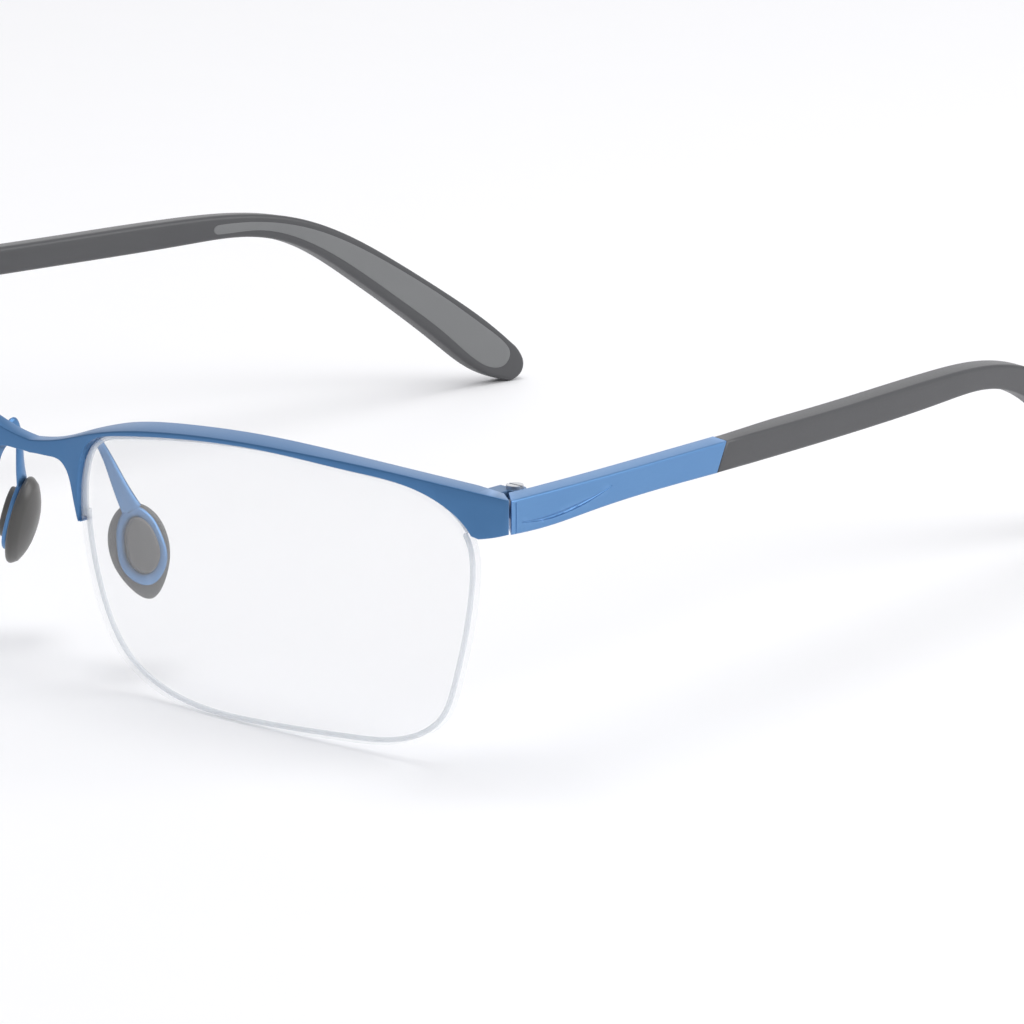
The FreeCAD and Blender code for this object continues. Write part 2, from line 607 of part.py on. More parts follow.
def teardrop(width, height):
    """Return a closed teardrop face, rounder and wider below, in the pad's own plane."""
    half, tall = width / 2, height / 2
    points = [
        (0.0, tall), (-half * 0.62, tall * 0.72), (-half * 0.93, tall * 0.12), (-half * 0.9, -tall * 0.5),
        (0.0, -tall), (half * 0.9, -tall * 0.5), (half * 0.93, tall * 0.12), (half * 0.62, tall * 0.72),
    ]
    return Part.Face(Part.Wire([stretch.toShape() for stretch in quarters(closed_through(flat(points)))]))


PAD_SIZE = (7.2, 11.2)
RING_SIZE = (5.8, 9.2)
WINDOW_SIZE = (3.9, 6.6)
towards = Vector(0, 0, 1)
pad_body = teardrop(*PAD_SIZE).extrude(towards * size["pad_thickness"])
pad_body.translate(Vector(0, -size["pad_drop"], 0))
dome = Part.makeSphere(size["pad_dome"], Vector(0, -size["pad_drop"], size["pad_thickness"] - size["pad_dome"]))
pad_body = pad_body.common(dome)
pad_boss = teardrop(*WINDOW_SIZE).extrude(towards * -size["boss_height"])
pad = set_shape("NosePad", pad_body.fuse(pad_boss))
pad.Placement = pad_place
keep("nose_pad_left", pad)

ring = teardrop(*RING_SIZE).cut(teardrop(*WINDOW_SIZE)).extrude(towards * -size["ring_thickness"])
ring_top = Vector(0, RING_SIZE[1] / 2 - 0.6, -size["ring_thickness"] / 2)
arm_points = [
    Vector(7.3, size["hinge_y"] - 1.9, 23.9), Vector(6.7, size["hinge_y"] - 0.6, 26.2),
    Vector(6.8, size["hinge_y"] + 0.6, 26.4), Vector(7.6, size["hinge_y"] + 1.5, 23.8),
    Vector(8.4, size["hinge_y"] + 2.2, 21.2), pad_place.multVec(ring_top),
]
arm_path = through([tuple(point) for point in arm_points]).toShape()
arm_wire = swept(arm_path, size["arm_radius"])
arm_wire.transformShape(pad_place.inverse().toMatrix())
arm = set_shape("PadArm", ring.fuse(arm_wire))
arm.Placement = pad_place
arm_left = combine("Cut", "PadArmTrimmed", arm, bar_blank)
keep("pad_arm_left", combine("Cut", "PadArmClear", arm_left, pad))

LEFT = [name for name in pieces if name.endswith("_left")]
for name in LEFT:
    keep(name.replace("_left", "_right"), mirrored(name + "_image", pieces[name]))

doc.recompute()
for item in doc.Objects:
    if "Invalid" in item.State or "Error" in item.State:
        raise RuntimeError("failed: %s (%s)" % (item.Name, item.State))
for name, piece in pieces.items():
    shape = piece.Shape
    if shape.isNull() or not shape.isValid() or not shape.Solids:
        raise RuntimeError("bad shape: " + name)
for name, piece in pieces.items():
    piece.Shape.exportStep("parts/%s.step" % name)
    bounds = piece.Shape.BoundBox
    print("%-22s %d solid(s) %8.2f mm3  x %.1f..%.1f  y %.1f..%.1f  z %.2f..%.2f" % (
        name, len(piece.Shape.Solids), piece.Shape.Volume, bounds.XMin, bounds.XMax,
        bounds.YMin, bounds.YMax, bounds.ZMin, bounds.ZMax))
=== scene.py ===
"""Half rim eyeglasses: the looks of every piece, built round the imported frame."""

import json
import logging
import math
from collections.abc import Callable, Sequence
from dataclasses import dataclass
from enum import Enum

import bmesh
import bpy
import numpy as np
from mathutils import Matrix, Vector
from mathutils.geometry import delaunay_2d_cdt


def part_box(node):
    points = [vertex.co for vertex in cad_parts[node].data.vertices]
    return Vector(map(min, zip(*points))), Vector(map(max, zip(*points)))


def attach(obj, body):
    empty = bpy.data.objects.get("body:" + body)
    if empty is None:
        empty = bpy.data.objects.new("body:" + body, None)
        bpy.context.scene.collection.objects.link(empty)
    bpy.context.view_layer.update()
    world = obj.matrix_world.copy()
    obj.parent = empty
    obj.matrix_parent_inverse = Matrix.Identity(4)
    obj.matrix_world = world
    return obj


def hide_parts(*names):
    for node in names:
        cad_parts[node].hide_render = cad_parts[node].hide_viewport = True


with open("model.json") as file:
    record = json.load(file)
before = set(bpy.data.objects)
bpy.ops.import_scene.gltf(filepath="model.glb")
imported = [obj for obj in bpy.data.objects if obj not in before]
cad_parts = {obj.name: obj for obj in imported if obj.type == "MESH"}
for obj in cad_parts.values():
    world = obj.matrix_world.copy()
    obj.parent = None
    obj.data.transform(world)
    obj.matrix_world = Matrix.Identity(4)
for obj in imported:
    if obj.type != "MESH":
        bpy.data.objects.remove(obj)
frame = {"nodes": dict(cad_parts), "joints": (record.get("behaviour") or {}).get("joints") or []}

LOG = logging.getLogger("eyeglasses")
MM = 0.001
FLOOR_LIFT = 0.02
WORLD_UP = Vector((0, 0, 1))
Point2 = tuple[float, float]
Placer = Callable[[float, float, float], Vector]

PIN_BEHIND_CORNER = 5.05
HINGE_Y = frame["joints"][0]["pos_m"][1] / MM - PIN_BEHIND_CORNER
HALF_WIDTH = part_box("front_bar")[1].x / MM

LENS_OUTLINE: list[Point2] = [
    (8.4, 19.0), (8.4, 24.0), (9.8, 27.6), (14.6, 29.5), (24.0, 30.9), (38.0, 31.8),
    (50.0, 31.4), (60.2, 29.7), (64.1, 26.5), (64.9, 20.0), (62.8, 9.8), (60.9, 5.4),
    (57.2, 2.6), (48.0, 0.9), (33.6, 0.1), (22.0, 0.8), (14.2, 4.6), (10.2, 11.5),
]
CREASE: list[Point2] = [
    (0.0, 26.9), (4.2, 27.6), (8.0, 28.7), (11.4, 29.7), (16.9, 30.9), (24.0, 31.9), (34.0, 32.65),
    (44.0, 32.8), (54.0, 32.6), (62.0, 32.1), (70.0, 31.5),
]
REAR_TOP: list[Point2] = [
    (0.0, 27.1), (4.2, 27.8), (9.4, 29.6), (15.0, 31.2), (24.0, 32.5), (36.0, 33.2), (48.0, 32.9),
    (58.0, 32.3), (70.0, 31.4),
]
ENDPIECE_FOOT: list[Point2] = [(70.0, 27.7), (68.7, 27.25), (67.4, 26.9), (66.2, 26.66)]
LEG_AND_BRIDGE: list[Point2] = [
    (8.7, 19.1), (8.3, 18.85), (7.8, 19.0), (7.6, 19.4), (6.9, 21.8), (6.2, 23.9), (4.9, 25.3),
    (2.8, 25.5), (0.0, 25.4),
]
TEMPLE_TOP: list[Point2] = [
    (0.0, 31.6), (12.0, 31.3), (37.5, 30.8), (62.0, 30.1), (82.0, 29.6), (92.0, 28.8), (100.0, 27.0),
    (107.7, 23.7), (115.6, 19.0), (123.6, 13.7), (131.0, 8.3), (134.6, 5.2),
]
TIP_ROUND: list[Point2] = [(136.0, 3.6), (136.5, 2.2), (136.1, 0.9), (135.2, 0.25)]
TEMPLE_UNDER: list[Point2] = [
    (0.0, 27.6), (7.0, 27.3), (14.0, 27.5), (21.0, 27.6), (37.0, 27.2), (62.0, 26.5), (82.0, 26.2),
    (92.0, 25.7), (100.0, 23.2), (107.7, 18.4), (115.6, 12.6), (123.6, 6.3), (129.5, 1.9), (134.2, 0.0),
]
WAVY_LINE: list[Point2] = [(2.2, 28.7), (6.9, 28.35), (10.0, 28.5), (13.0, 28.85), (17.3, 29.7)]
INLAY_OUTLINE: list[Point2] = [
    (85.3, 27.6), (85.6, 28.05), (86.4, 28.2), (92.0, 27.8), (100.0, 26.0), (107.7, 22.7), (115.6, 18.1),
    (123.6, 12.8), (130.6, 7.6), (133.0, 5.6), (134.0, 3.8), (133.2, 2.5), (131.2, 2.3), (128.4, 3.7),
    (123.6, 7.8), (115.6, 14.0), (107.7, 19.7), (100.0, 24.2), (93.0, 26.5), (86.4, 26.9), (85.6, 27.1),
]
PLATE_END_TOP = 37.9
PLATE_END_FOOT = 36.2
PAD_ARM_ROUTE: list[tuple[float, float, float]] = [
    (7.3, -2.5, 24.2), (6.9, -1.6, 25.9), (6.8, -0.2, 27.2), (7.1, 0.8, 25.9), (7.7, 1.6, 23.6), (8.4, 2.3, 21.2),
]
PAD_CROWN_SHARES = (0.15, 0.3, 0.45, 0.6, 0.72, 0.82, 0.9)
PAD_RIM: list[Point2] = [
    (0.96, 0.88), (0.99, 0.66), (1.0, 0.42), (0.985, 0.2), (0.95, 0.06), (0.88, 0.0), (0.66, 0.0),
]
FULL_FOOT: list[Point2] = [(0.62, 0.72), (0.93, 0.12), (0.9, -0.5)]
NARROW_FOOT: list[Point2] = [(0.66, 0.78), (0.99, 0.2), (0.62, -0.62)]


class Side(Enum):
    """Which side of the wearer a piece is on: +X is the wearer's left."""

    LEFT = 1
    RIGHT = -1

    @property
    def word(self) -> str:
        """Return the ending of this side's node names."""
        return self.name.lower()

    @property
    def body(self) -> str:
        """Return the temple body on this side."""
        return "temple_" + self.word


# ---- shape helpers -------------------------------------------------------------------------------------


def clamped(share: float) -> float:
    """Return a share held between 0 and 1."""
    return max(0.0, min(1.0, share))


def eased(share: float) -> float:
    """Return a share that starts and ends gently."""
    return share * share * (3 - 2 * share)


def smooth(points: Sequence[Sequence[float]], steps: int, closed: bool = False) -> list[tuple[float, ...]]:
    """Run a curve of even curvature through points in two or three dimensions.

    Args:
        points: The points that the curve passes through.
        steps: How many stretches each span gets.
        closed: Whether the curve returns to its first point.

    Returns:
        The points along the curve. An open curve keeps its last point.
    """
    knots = np.array(list(points) + (list(points[:1]) if closed else []), dtype=float)
    rise = np.diff(knots, axis=0)
    span = np.linalg.norm(rise, axis=1)
    slope = rise / span[:, None]
    count = len(span) if closed else len(span) + 1
    system = np.zeros((count, count))
    wanted = np.zeros((count, knots.shape[1]))
    for i in range(count):
        if not closed and i in (0, count - 1):
            system[i, i] = 1.0
            near, beyond = (0, 1) if i == 0 else (-1, -2)
            lean = (slope[near] - slope[beyond]) * span[near] / (span[near] + span[beyond])
            wanted[i] = slope[near] + lean
            continue
        before, after = span[i - 1], span[i]
        system[i, (i - 1) % count] += after
        system[i, i] += 2 * (before + after)
        system[i, (i + 1) % count] += before
        wanted[i] = 3 * (after * slope[i - 1] + before * slope[i])
    tangent = np.linalg.solve(system, wanted)
    made: list[tuple[float, ...]] = []
    for i, length in enumerate(span):
        start, end = tangent[i] * length, tangent[(i + 1) % count] * length
        for step in range(steps):
            t = step / steps
            spot = knots[i] * (1 + 2 * t) * (1 - t) ** 2 + start * t * (1 - t) ** 2
            spot = spot + knots[i + 1] * t * t * (3 - 2 * t) + end * t * t * (t - 1)
            made.append(tuple(float(part) for part in spot))
    if not closed:
        made.append(tuple(float(part) for part in knots[-1]))
    return made


def height(curve: Sequence[Point2], across: float) -> float:
    """Return the second coordinate of a curve where its first has a given value.

    Args:
        curve: The curve's points, in order of their first coordinate.
        across: The first coordinate that is asked for.

    Returns:
        The second coordinate there, or at the nearer end of the curve.
    """
    for (x0, z0), (x1, z1) in zip(curve, curve[1:]):
        if min(x0, x1) <= across <= max(x0, x1) and x0 != x1:
            return z0 + (z1 - z0) * (across - x0) / (x1 - x0)
    return curve[-1][1] if across > curve[-1][0] else curve[0][1]


def inset(loop: Sequence[Point2], amount: float) -> list[Point2]:
    """Move a closed loop inwards along its own normals.

    Args:
        loop: The loop's points, in either turning direction.
        amount: How far to move, in mm.

    Returns:
        The moved points, in the same order.
    """
    count = len(loop)
    area = sum(a[0] * b[1] - b[0] * a[1] for a, b in zip(loop, [*loop[1:], loop[0]]))
    turn = 1.0 if area > 0 else -1.0
    moved: list[Point2] = []
    for i, (a, b) in enumerate(loop):
        before, after = Vector(loop[i - 1]), Vector(loop[(i + 1) % count])
        along = (Vector((a, b)) - before).normalized() + (after - Vector((a, b))).normalized()
        if along.length < 1e-6:
            along = after - before
        along.normalize()
        moved.append((a - along.y * amount * turn, b + along.x * amount * turn))
    return moved


def new_piece(name: str, mesh_data: bmesh.types.BMesh, sharp: float = 40.0) -> bpy.types.Object:
    """Turn a bmesh into a smooth-shaded object.

    Args:
        name: The piece's name.
        mesh_data: The bmesh, which is freed.
        sharp: Edges that turn by more than this many degrees stay sharp.

    Returns:
        The new object, linked to the scene.
    """
    bmesh.ops.recalc_face_normals(mesh_data, faces=mesh_data.faces)
    mesh = bpy.data.meshes.new(name)
    mesh_data.to_mesh(mesh)
    mesh_data.free()
    mesh.polygons.foreach_set("use_smooth", [True] * len(mesh.polygons))
    mesh.set_sharp_from_angle(angle=math.radians(sharp))
    piece = bpy.data.objects.new(name, mesh)
    bpy.context.scene.collection.objects.link(piece)
    return piece


def bridge_rings(made: bmesh.types.BMesh, rings: Sequence[list[bmesh.types.BMVert]]) -> None:
    """Join closed rings of vertices with quads.

    Args:
        made: The bmesh that the rings are in.
        rings: The rings in order, with the same number of vertices each.
    """
    for lower, upper in zip(rings, rings[1:]):
        count = len(lower)
        for i in range(count):
            j = (i + 1) % count
            made.faces.new((lower[i], lower[j], upper[j], upper[i]))


def fan(made: bmesh.types.BMesh, ring: Sequence[bmesh.types.BMVert], middle: bmesh.types.BMVert) -> None:
    """Close a ring with triangles that meet at one vertex.

    Args:
        made: The bmesh that the ring is in.
        ring: The ring's vertices.
        middle: The vertex that the triangles meet at.
    """
    for first, second in zip(ring, [*ring[1:], ring[0]]):
        made.faces.new((middle, first, second))


def fill_face(
    made: bmesh.types.BMesh, ring: Sequence[bmesh.types.BMVert], loop: Sequence[Point2],
    place: Callable[[float, float], Vector],
) -> None:
    """Fill a closed ring with triangles that follow the curved face.

    Args:
        made: The bmesh that the ring is in.
        ring: The ring's vertices.
        loop: The same ring in flat coordinates, in mm.
        place: Turns flat coordinates into a position in metres.
    """
    least_step, most_steps, inside_only, tolerance = 0.8, 90, 1, 1e-6
    count = len(loop)
    low = [min(point[axis] for point in loop) for axis in (0, 1)]
    high = [max(point[axis] for point in loop) for axis in (0, 1)]
    step = max(least_step, (high[0] - low[0]) / most_steps)
    spots = [Vector(point) for point in loop]
    across = int((high[0] - low[0]) / step)
    up = int((high[1] - low[1]) / step)
    for i in range(across):
        spots += [Vector((low[0] + step * (i + 0.5), low[1] + step * (j + 0.5))) for j in range(up)]
    flat, _, faces, origin, _, _ = delaunay_2d_cdt(spots, [], [list(range(count))], inside_only, tolerance)
    verts: list[bmesh.types.BMVert] = []
    for spot, sources in zip(flat, origin):
        known = [index for index in sources if index < count]
        verts.append(ring[known[0]] if known else made.verts.new(place(spot.x, spot.y)))
    for face in faces:
        corners = {verts[index] for index in face}
        if len(corners) == 3 and not made.faces.get(corners):
            made.faces.new([verts[index] for index in face])


def slab(
    name: str, near: Sequence[Point2], far: Sequence[Point2], place: Placer, depth: float,
    near_round: float, far_round: float, steps: int = 4,
) -> bpy.types.Object:
    """Build a solid between two matching outlines, with rounded edges.

    Args:
        name: The piece's name.
        near: The outline at depth share 0.
        far: The outline at depth share 1, point for point.
        place: Turns (a, b, depth share) into a position in metres.
        depth: The distance between the outlines in mm.
        near_round: Edge radius at the near outline in mm.
        far_round: Edge radius at the far outline in mm.
        steps: Facets in each rounded edge.

    Returns:
        The new object.
    """
    made = bmesh.new()
    layers: list[tuple[float, float]] = []
    for k in range(steps + 1):
        angle = math.radians(90.0 * k / steps)
        layers.append((near_round * (1 - math.sin(angle)), near_round * (1 - math.cos(angle)) / depth))
    for k in range(steps, -1, -1):
        angle = math.radians(90.0 * k / steps)
        layers.append((far_round * (1 - math.sin(angle)), 1 - far_round * (1 - math.cos(angle)) / depth))
    rings = []
    for amount, share in layers:
        loop = [(a + (c - a) * share, b + (d - b) * share) for (a, b), (c, d) in zip(near, far)]
        rings.append([made.verts.new(place(a, b, share)) for a, b in inset(loop, amount)])
    bridge_rings(made, rings)
    for ring, (amount, share) in ((rings[0], layers[0]), (rings[-1], layers[-1])):
        loop = [(a + (c - a) * share, b + (d - b) * share) for (a, b), (c, d) in zip(near, far)]
        fill_face(made, ring, inset(loop, amount), lambda a, b, level=share: place(a, b, level))
    return new_piece(name, made, 50.0)


def tube(
    name: str, path: Sequence[Vector], radii: Sequence[float], sides: int = 14, thin: float = 0.0,
    upright: Vector = WORLD_UP,
) -> bpy.types.Object:
    """Sweep a round or oval section along points.

    Args:
        name: The piece's name.
        path: Points in mm.
        radii: Radius at each point in mm.
        sides: Corners of the section.
        thin: Half thickness across upright in mm, or 0 for a round section.
        upright: The direction that the section's thickness is measured along.

    Returns:
        The new object, with domed ends.
    """
    made = bmesh.new()
    rings = []
    last = len(path) - 1
    normal = upright.copy()
    for i, point in enumerate(path):
        along = (path[min(i + 1, last)] - path[max(i - 1, 0)]).normalized()
        normal = (upright if thin else normal) - along * (upright if thin else normal).dot(along)
        if normal.length < 1e-4:
            normal = along.orthogonal()
        normal.normalize()
        second = along.cross(normal)
        ring = []
        for k in range(sides):
            angle = 2 * math.pi * k / sides
            offset = normal * math.cos(angle) * (thin or radii[i]) + second * math.sin(angle) * radii[i]
            ring.append(made.verts.new((point + offset) * MM))
        rings.append(ring)
    bridge_rings(made, rings)
    for ring, end, inner in ((rings[0], path[0], path[1]), (rings[-1], path[-1], path[-2])):
        outward = (end - inner).normalized()
        fan(made, ring, made.verts.new((end + outward * radii[0] * 0.5) * MM))
    return new_piece(name, made, 60.0)


def block(name: str, low: Vector, high: Vector) -> bpy.types.Object:
    """Build a plain block between two corners.

    Args:
        name: The block's name.
        low: Its lowest corner in mm.
        high: Its highest corner in mm.

    Returns:
        The block.
    """
    made = bmesh.new()
    bmesh.ops.create_cube(made, size=1.0)
    for vert in made.verts:
        vert.co = Vector([(low[k] + high[k]) / 2 + vert.co[k] * (high[k] - low[k]) for k in range(3)]) * MM
    return new_piece(name, made)


def cut_away(piece: bpy.types.Object, cutter: bpy.types.Object) -> None:
    """Cut one object's shape out of a piece and remove the cutter.

    Args:
        piece: The piece that is cut.
        cutter: The object whose shape is taken away.
    """
    cut = piece.modifiers.new("cut", "BOOLEAN")
    cut.object = cutter
    cut.operation = "DIFFERENCE"
    cut.solver = "EXACT"
    bpy.context.view_layer.update()
    result = bpy.data.meshes.new_from_object(piece.evaluated_get(bpy.context.evaluated_depsgraph_get()))
    piece.modifiers.clear()
    piece.data = result
    result.polygons.foreach_set("use_smooth", [True] * len(result.polygons))
    result.set_sharp_from_angle(angle=math.radians(30.0))
    bpy.data.objects.remove(cutter)


def bevelled_copy(node: str, width: float) -> bpy.types.Object:
    """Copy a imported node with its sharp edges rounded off.

    Args:
        node: The node to copy.
        width: Width of the rounding in mm.

    Returns:
        The copy, named after the node.
    """
    made = bmesh.new()
    made.from_mesh(frame["nodes"][node].data)
    bmesh.ops.remove_doubles(made, verts=made.verts, dist=0.002 * MM)
    bmesh.ops.dissolve_limit(made, angle_limit=math.radians(1.0), verts=made.verts, edges=made.edges)
    piece = new_piece(node + "_dressed", made, 30.0)
    rounding = piece.modifiers.new("rounding", "BEVEL")
    rounding.width = width * MM
    rounding.segments = 2
    rounding.limit_method = "ANGLE"
    rounding.angle_limit = math.radians(40.0)
    bpy.context.view_layer.update()
    piece.data = bpy.data.meshes.new_from_object(piece.evaluated_get(bpy.context.evaluated_depsgraph_get()))
    piece.modifiers.clear()
    return piece


# ---- finishes ------------------------------------------------------------------------------------------


@dataclass(frozen=True)
class Finish:
    """A surface finish that is worked out from the piece's own place in space.

    Args:
        name: The material's name.
        colour: Base colour.
        second: Colour of the soft patches in it.
        metallic: How far it is a bare metal.
        roughness: Middle roughness.
        grain: Scale of the fine grain, in cells per metre.
        grain_stretch: Grain length along Y against its width.
        bump: Height of the grain in mm.
        coat: Clear coat weight.
        sheen: Soft sheen weight.
        alpha: Opacity.
        painted_edge_highlight: How much paler the convex edges are painted, as a painted highlight.
    """

    name: str
    colour: tuple[float, float, float]
    second: tuple[float, float, float]
    metallic: float = 0.0
    roughness: float = 0.4
    grain: float = 9000.0
    grain_stretch: float = 1.0
    bump: float = 0.004
    coat: float = 0.0
    sheen: float = 0.0
    alpha: float = 1.0
    painted_edge_highlight: float = 0.0

    def material(self) -> bpy.types.Material:
        """Make the finish's material, or find it where it was made before.

        Returns:
            The material.
        """
        known = bpy.data.materials.get(self.name)
        if known:
            return known
        made = bpy.data.materials.new(self.name)
        made.use_nodes = True
        nodes, links = made.node_tree.nodes, made.node_tree.links
        shader = nodes["Principled BSDF"]
        shader.inputs["Metallic"].default_value = self.metallic
        shader.inputs["Coat Weight"].default_value = self.coat
        shader.inputs["Sheen Weight"].default_value = self.sheen
        shader.inputs["Alpha"].default_value = self.alpha
        place = nodes.new("ShaderNodeTexCoord")
        stretch = nodes.new("ShaderNodeMapping")
        stretch.inputs["Scale"].default_value = (1.0, 1.0 / self.grain_stretch, 1.0)
        links.new(place.outputs["Object"], stretch.inputs["Vector"])
        patches = nodes.new("ShaderNodeTexNoise")
        patches.inputs["Scale"].default_value = 90.0
        patches.inputs["Detail"].default_value = 4.0
        links.new(place.outputs["Object"], patches.inputs["Vector"])
        fine = nodes.new("ShaderNodeTexNoise")
        fine.inputs["Scale"].default_value = self.grain
        fine.inputs["Detail"].default_value = 3.0
        links.new(stretch.outputs["Vector"], fine.inputs["Vector"])
        tint = nodes.new("ShaderNodeMix")
        tint.data_type = "RGBA"
        tint.inputs["A"].default_value = (*self.colour, 1.0)
        tint.inputs["B"].default_value = (*self.second, 1.0)
        links.new(patches.outputs["Fac"], tint.inputs["Factor"])
        colour = tint.outputs["Result"]
        # painted highlight: convex edges are made paler from pointiness
        if self.painted_edge_highlight > 0:
            colour = self._paint_edge_highlight(nodes, links, colour)
        links.new(colour, shader.inputs["Base Color"])
        spread = nodes.new("ShaderNodeMapRange")
        spread.inputs["To Min"].default_value = self.roughness - 0.06
        spread.inputs["To Max"].default_value = self.roughness + 0.08
        links.new(fine.outputs["Fac"], spread.inputs["Value"])
        links.new(spread.outputs["Result"], shader.inputs["Roughness"])
        relief = nodes.new("ShaderNodeBump")
        relief.inputs["Strength"].default_value = 0.35
        relief.inputs["Distance"].default_value = self.bump * MM
        links.new(fine.outputs["Fac"], relief.inputs["Height"])
        links.new(relief.outputs["Normal"], shader.inputs["Normal"])
        return made

    def _paint_edge_highlight(
        self, nodes: bpy.types.Nodes, links: bpy.types.NodeLinks, colour: bpy.types.NodeSocket,
    ) -> bpy.types.NodeSocket:
        """Return the colour with its convex edges painted paler, as a painted highlight.

        Args:
            nodes: The material's nodes.
            links: The material's links.
            colour: The colour so far.

        Returns:
            The socket that carries the worn colour.
        """
        shape = nodes.new("ShaderNodeNewGeometry")
        edge = nodes.new("ShaderNodeMapRange")
        edge.inputs["From Min"].default_value = 0.52
        edge.inputs["From Max"].default_value = 0.66
        edge.inputs["To Max"].default_value = self.painted_edge_highlight
        links.new(shape.outputs["Pointiness"], edge.inputs["Value"])
        # painted highlight colour, mixed onto the convex edges
        highlighted_edges = nodes.new("ShaderNodeMix")
        highlighted_edges.data_type = "RGBA"
        pale = tuple(min(1.0, part * 1.5 + 0.12) for part in self.colour)
        highlighted_edges.inputs["B"].default_value = (*pale, 1.0)
        links.new(colour, highlighted_edges.inputs["A"])
        links.new(edge.outputs["Result"], highlighted_edges.inputs["Factor"])
        return highlighted_edges.outputs["Result"]


ANODISED_BLUE = Finish(
    "anodised_blue", (0.062, 0.178, 0.375), (0.080, 0.208, 0.42), metallic=0.7, roughness=0.34,
    grain=7000.0, bump=0.003, coat=0.05, painted_edge_highlight=0.7)
TEMPLE_BLUE = Finish(
    "temple_blue", (0.105, 0.25, 0.50), (0.13, 0.29, 0.54), metallic=0.7, roughness=0.40,
    grain=7000.0, grain_stretch=6.0, bump=0.004, coat=0.1, painted_edge_highlight=0.6)
WIRE_BLUE = Finish(
    "wire_blue", (0.080, 0.205, 0.42), (0.10, 0.24, 0.46), metallic=0.75, roughness=0.36,
    grain=8000.0, painted_edge_highlight=0.4)
HINGE_METAL = Finish(
    "hinge_metal", (0.07, 0.14, 0.27), (0.10, 0.18, 0.32), metallic=0.8, roughness=0.38, painted_edge_highlight=0.8)
SCREW_STEEL = Finish(
    "screw_steel", (0.55, 0.56, 0.58), (0.62, 0.63, 0.65), metallic=1.0, roughness=0.28, painted_edge_highlight=0.3)
CORE_STEEL = Finish(
    "core_steel", (0.05, 0.07, 0.12), (0.08, 0.09, 0.13), metallic=0.6, roughness=0.5)
SATIN_GREY = Finish(
    "satin_grey", (0.060, 0.061, 0.065), (0.074, 0.075, 0.079), roughness=0.44, grain=5000.0,
    grain_stretch=2.0, bump=0.006, coat=0.05, painted_edge_highlight=0.5)
SOFT_INLAY = Finish(
    "soft_inlay", (0.165, 0.17, 0.173), (0.19, 0.195, 0.197), roughness=0.62, grain=6500.0, bump=0.01, sheen=0.2)
SILICONE_GREY = Finish(
    "silicone_grey", (0.070, 0.068, 0.064), (0.088, 0.085, 0.080), roughness=0.42, grain=4000.0, bump=0.006,
    coat=0.1, sheen=0.15)
NYLON = Finish(
    "nylon", (0.66, 0.74, 0.84), (0.78, 0.84, 0.90), roughness=0.22, grain=3000.0, bump=0.002, coat=0.4, alpha=0.45)
LENS_EDGE = Finish(
    "lens_edge", (0.25, 0.27, 0.30), (0.38, 0.40, 0.43), roughness=0.5, grain=8000.0, bump=0.004, alpha=0.5)


@dataclass(frozen=True)
class ClearLens:
    """Polished, coated clear lens plastic.

    Args:
        name: The material's name.
        tint: The plastic's own colour.
        index: Refractive index.
        gloss: Specular level, low because the lens is coated against glare.
    """

    name: str = "clear_lens"
    tint: tuple[float, float, float] = (0.985, 0.99, 0.995)
    index: float = 1.5
    gloss: float = 0.08

    def material(self) -> bpy.types.Material:
        """Make the lens plastic, or find it where it was made before.

        Returns:
            The material.
        """
        known = bpy.data.materials.get(self.name)
        if known:
            return known
        made = bpy.data.materials.new(self.name)
        made.use_nodes = True
        nodes, links = made.node_tree.nodes, made.node_tree.links
        shader = nodes["Principled BSDF"]
        shader.inputs["Transmission Weight"].default_value = 1.0
        shader.inputs["IOR"].default_value = self.index
        shader.inputs["Specular IOR Level"].default_value = self.gloss
        shader.inputs["Base Color"].default_value = (*self.tint, 1.0)
        place = nodes.new("ShaderNodeTexCoord")
        cloud = nodes.new("ShaderNodeTexNoise")
        cloud.inputs["Scale"].default_value = 60.0
        links.new(place.outputs["Object"], cloud.inputs["Vector"])
        smear = nodes.new("ShaderNodeMapRange")
        smear.inputs["From Min"].default_value = 0.55
        smear.inputs["From Max"].default_value = 0.8
        smear.inputs["To Max"].default_value = 0.012
        links.new(cloud.outputs["Fac"], smear.inputs["Value"])
        links.new(smear.outputs["Result"], shader.inputs["Roughness"])
        return made


def finish_piece(piece: bpy.types.Object, finish: Finish | ClearLens, body: str, slot: str, *nodes: str) -> None:
    """Give a piece its finish, its body and the nodes that it stands for.

    Args:
        piece: The piece.
        finish: Its surface.
        body: The body that it rides on.
        slot: Its material slot's name in the record; not used.
        nodes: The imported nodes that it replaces.
    """
    piece.data.materials.clear()
    piece.data.materials.append(finish.material())
    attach(piece, body)
    if nodes:
        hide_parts(*nodes)
    LOG.info("%s rides on %s", piece.name, body)


# ---- the front -----------------------------------------------------------------------------------------


